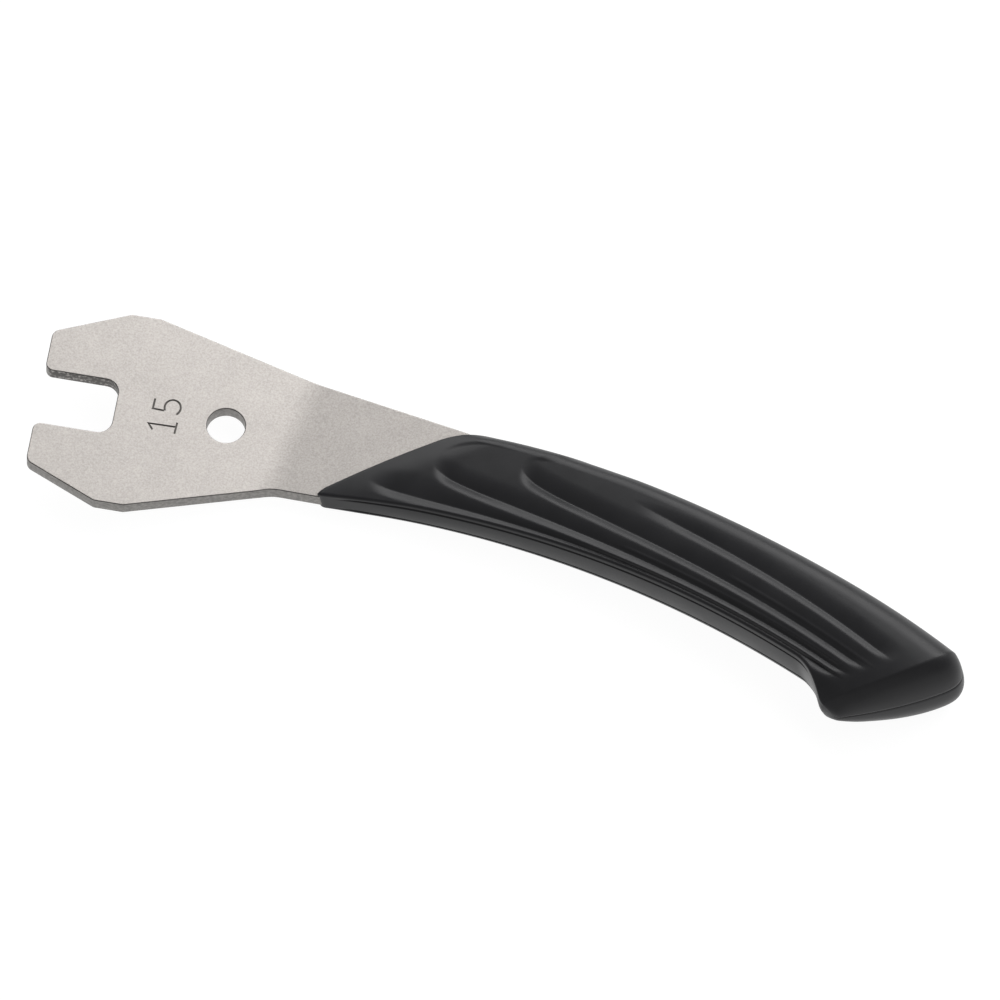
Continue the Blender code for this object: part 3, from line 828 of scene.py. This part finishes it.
def lay_down(pieces):
    """Turns the pieces from the handle frame to rest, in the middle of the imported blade's box."""
    turn = Euler((REST_ROLL, -REST_PITCH, 0.0)).to_matrix().to_4x4()
    blade = pieces[0]
    for piece in pieces:
        piece.data.transform(turn)
    corners = np.array([vert.co for vert in blade.data.vertices])
    low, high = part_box("wrench_blade")
    shift = (low + high) / 2 - Vector((corners.min(0) + corners.max(0)) / 2)
    for piece in pieces:
        piece.data.transform(Matrix.Translation(shift))
    return Matrix.Translation(shift) @ turn


class Graph:
    """Short calls for building one material's nodes."""

    def __init__(self, name):
        self.material = bpy.data.materials.new(name)
        self.material.use_nodes = True
        self.tree = self.material.node_tree
        self.shader = self.tree.nodes["Principled BSDF"]
        coordinates = self.node("ShaderNodeTexCoord")
        self.place = coordinates.outputs["Object"]
        self.normal = coordinates.outputs["Normal"]

    def node(self, kind, **settings):
        made = self.tree.nodes.new(kind)
        for name, value in settings.items():
            setattr(made, name, value)
        return made

    def link(self, output, socket):
        self.tree.links.new(output, socket)

    def noise(self, size, roughness=0.55):
        """Noise whose features are about size millimetres across."""
        made = self.node("ShaderNodeTexNoise")
        made.inputs["Scale"].default_value = 1.0 / (size * MM)
        made.inputs["Detail"].default_value = 3.0
        made.inputs["Roughness"].default_value = roughness
        self.link(self.place, made.inputs["Vector"])
        return made.outputs["Fac"]

    def mapped(self, value, span, result=(0.0, 1.0)):
        """A value carried over from one span to another, and held at its ends."""
        made = self.node("ShaderNodeMapRange")
        self.link(value, made.inputs["Value"])
        names = ("From Min", "From Max", "To Min", "To Max")
        for name, number in zip(names, (*span, *result)):
            made.inputs[name].default_value = number
        return made.outputs["Result"]

    def math(self, operation, a, b=0.0):
        made = self.node("ShaderNodeMath", operation=operation)
        for socket, value in zip(made.inputs, (a, b)):
            if isinstance(value, (int, float)):
                socket.default_value = value
            else:
                self.link(value, socket)
        return made.outputs["Value"]

    def along(self, vector, direction):
        """How far a vector goes in a direction."""
        made = self.node("ShaderNodeVectorMath", operation="DOT_PRODUCT")
        self.link(vector, made.inputs[0])
        made.inputs[1].default_value = direction
        return made.outputs["Value"]

    def blend(self, factor, low, high):
        """A colour between two, each given as numbers or as an output, by a factor."""
        made = self.node("ShaderNodeMix", data_type="RGBA")
        self.link(factor, made.inputs["Factor"])
        for name, colour in (("A", low), ("B", high)):
            socket = next(s for s in made.inputs if s.name == name and s.type == "RGBA")
            if isinstance(colour, tuple):
                socket.default_value = (*colour, 1.0)
            else:
                self.link(colour, socket)
        return next(s for s in made.outputs if s.type == "RGBA")

    def bump(self, height, depth):
        """Bump from a 0 to 1 height that stands for depth millimetres."""
        made = self.node("ShaderNodeBump")
        made.inputs["Strength"].default_value = BUMP_STRENGTH
        made.inputs["Distance"].default_value = depth * MM
        self.link(height, made.inputs["Height"])
        self.link(made.outputs["Normal"], self.shader.inputs["Normal"])


def steel_material(to_world):
    """Blasted, plated steel: satin grey with a fine grain, darker cut edges and number, painted shade
    where the edges turn upwards and on the jaw's walls, and painted glints for the jaw's machining marks.
    """
    graph = Graph("blasted_steel_look")
    turn = to_world.to_3x3()

    def over_axis(u, h):
        return to_world @ (bent(Vector((*head_point(u, 0.0), h))) * MM)

    grain = graph.noise(STEEL_GRAIN, roughness=STEEL_GRAIN_ROUGHNESS)
    cloud = graph.noise(STEEL_CLOUD)
    share = graph.math("ADD", graph.math("MULTIPLY", grain, STEEL_GRAIN_SHARE),
                       graph.math("MULTIPLY", cloud, 1.0 - STEEL_GRAIN_SHARE))
    face = graph.blend(graph.mapped(share, FACE_SPAN), STEEL_DARK, STEEL_LIGHT)
    mottle = graph.noise(STEEL_MOTTLE)
    sawn = graph.blend(graph.mapped(mottle, SAWN_SPAN), STEEL_CUT_DARK, STEEL_CUT_LIGHT)
    # Painted shade on the jaw's walls, mottled with painted glints for their machining marks
    jaw_shade_and_glints = graph.blend(graph.mapped(mottle, JAW_SHADE_GLINT_SPAN), STEEL_JAW_PAINTED_SHADE, STEEL_JAW_PAINTED_GLINT)

    jaw_side = turn @ Vector((*head_point(0.0, 1.0), 0.0))
    jaw_axis = turn @ Vector((*head_point(1.0, 0.0), 0.0))
    jaw_middle = over_axis(TIP, 0.0).dot(jaw_side)
    jaw_end = over_axis(JAW_BOTTOM + JAW_PAST, 0.0).dot(jaw_axis)
    off_middle = graph.math("SUBTRACT", graph.along(graph.place, jaw_side), jaw_middle)
    aside = graph.math("ABSOLUTE", off_middle)
    # Mask of the jaw's painted shade and glints: close beside the jaw's walls, and short of its end
    jaw_shade_across = graph.mapped(aside, [reach * MM for reach in JAW_BESIDE], (1.0, 0.0))
    along = graph.along(graph.place, jaw_axis)
    before = graph.mapped(along, (jaw_end - JAW_FADE * MM, jaw_end), (1.0, 0.0))
    # The sawn edges' own colour, with the jaw's painted shade and glints on the jaw's walls
    cut = graph.blend(graph.math("MULTIPLY", jaw_shade_across, before), sawn, jaw_shade_and_glints)

    up = graph.along(graph.normal, (0.0, 0.0, 1.0))
    # Painted shade on edge faces turned upwards, darkest where they face up most, short of the flat faces
    edge_with_painted_shade = graph.blend(graph.mapped(up, EDGE_SHADE_SPAN), cut, STEEL_EDGE_PAINTED_SHADE)
    flat = graph.mapped(graph.math("ABSOLUTE", up), FLAT_SPAN)
    edged = graph.blend(flat, edge_with_painted_shade, face)

    head_up = (over_axis(HEAD_SAMPLE, PLATE) - over_axis(HEAD_SAMPLE, 0.0)).normalized()
    head_top = over_axis(HEAD_SAMPLE, PLATE / 2).dot(head_up)
    below = graph.math("SUBTRACT", head_top, graph.along(graph.place, head_up))
    started = graph.mapped(below, [part * ENGRAVED * MM for part in ENGRAVED_START])
    unfinished = graph.mapped(below, [part * ENGRAVED * MM for part in ENGRAVED_END], (1.0, 0.0))
    level = graph.mapped(graph.along(graph.normal, head_up), ENGRAVED_LEVEL)
    engraved = graph.math("MULTIPLY", graph.math("MULTIPLY", started, unfinished), level)

    graph.link(graph.blend(engraved, edged, STEEL_NUMBER), graph.shader.inputs["Base Color"])
    graph.link(graph.mapped(grain, NOISE_SPAN, STEEL_ROUGHNESS), graph.shader.inputs["Roughness"])
    graph.shader.inputs["Metallic"].default_value = 1.0
    graph.bump(grain, STEEL_BUMP)
    return graph.material


def plastic_material():
    """Moulded black plastic, satin, with a very fine grain."""
    graph = Graph("black_plastic_look")
    grain = graph.noise(PLASTIC_GRAIN)
    cloud = graph.noise(PLASTIC_CLOUD)
    graph.link(graph.blend(cloud, PLASTIC_DARK, PLASTIC_LIGHT), graph.shader.inputs["Base Color"])
    graph.link(graph.mapped(cloud, NOISE_SPAN, PLASTIC_ROUGHNESS), graph.shader.inputs["Roughness"])
    graph.shader.inputs["IOR"].default_value = 1.32
    graph.bump(grain, PLASTIC_BUMP)
    return graph.material


def finish_piece(piece, look, node, sharp, flat_above=math.inf):
    """Gives a piece its material and shading, puts it on the root body, and hides the imported part it
    stands in for.

    Faces more upright than flat_above are shaded flat.
    """
    piece.data.materials.clear()
    piece.data.materials.append(look)
    piece.data.shade_smooth()
    piece.data.set_sharp_from_angle(angle=math.radians(sharp))
    for face in piece.data.polygons:
        if abs(face.normal.z) > flat_above:
            face.use_smooth = False
    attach(piece, "root")
    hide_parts(node)


def build_floor():
    """A plain white floor, far larger than the view."""
    bpy.ops.mesh.primitive_plane_add(size=FLOOR_SIZE, location=(0.0, 0.0, -FLOOR_DROP))
    floor = bpy.context.object
    floor.name = "floor"
    look = bpy.data.materials.new("floor_look")
    look.use_nodes = True
    inputs = look.node_tree.nodes["Principled BSDF"].inputs
    inputs["Base Color"].default_value = FLOOR_COLOUR
    inputs["Roughness"].default_value = FLOOR_ROUGHNESS
    inputs["Emission Color"].default_value = WHITE
    inputs["Emission Strength"].default_value = FLOOR_GLOW
    floor.data.materials.append(look)


def area_light(name, direction, distance, size, radiance, target):
    """A rectangular softbox, seen from the target in a direction, with the radiance it shows."""
    data = bpy.data.lights.new(name, "AREA")
    data.shape = "RECTANGLE"
    data.size, data.size_y = size
    data.energy = radiance * math.pi * size[0] * size[1]
    light = bpy.data.objects.new(name, data)
    way = Vector(direction).normalized()
    light.location = target + way * distance
    light.rotation_euler = way.to_track_quat("Z", "Y").to_euler()
    bpy.context.scene.collection.objects.link(light)


def build_light(target):
    """The softboxes, bright low behind, weaker high behind and weak in front, in a dim room."""
    for name, direction, distance, size, radiance in SOFTBOXES:
        area_light(name, direction, distance, size, radiance, target)
    world = bpy.data.worlds.new("room")
    world.use_nodes = True
    world.node_tree.nodes["Background"].inputs["Color"].default_value = WHITE
    world.node_tree.nodes["Background"].inputs["Strength"].default_value = ROOM_LIGHT
    bpy.context.scene.world = world


def build_camera(to_world):
    """A long lens at the photograph's viewing angle."""
    right = Vector(VIEW_RIGHT).normalized()
    up = Vector(VIEW_UP)
    up = (up - right * up.dot(right)).normalized()
    toward = right.cross(up)
    target = (right * VIEW_MIDDLE[0] + up * VIEW_MIDDLE[1]) * MM
    data = bpy.data.cameras.new("camera")
    data.sensor_width = VIEW_SENSOR
    data.lens = VIEW_SENSOR * VIEW_DISTANCE / VIEW_SPAN
    data.clip_start, data.clip_end = VIEW_CLIP
    camera = bpy.data.objects.new("camera", data)
    turn = Matrix((right, up, toward)).transposed().to_4x4()
    camera.matrix_world = to_world @ Matrix.Translation(target + toward * VIEW_DISTANCE) @ turn
    bpy.context.scene.collection.objects.link(camera)
    bpy.context.scene.camera = camera
    return to_world @ target


blade = build_blade()
grip = build_grip()
to_world = lay_down([blade, grip])
finish_piece(blade, steel_material(to_world), "wrench_blade", BLADE_SHARP, BLADE_FLAT)
finish_piece(grip, plastic_material(), "grip", GRIP_SHARP)
build_floor()
target = build_camera(to_world)
build_light(target)
bpy.context.scene.view_settings.view_transform = "Standard"
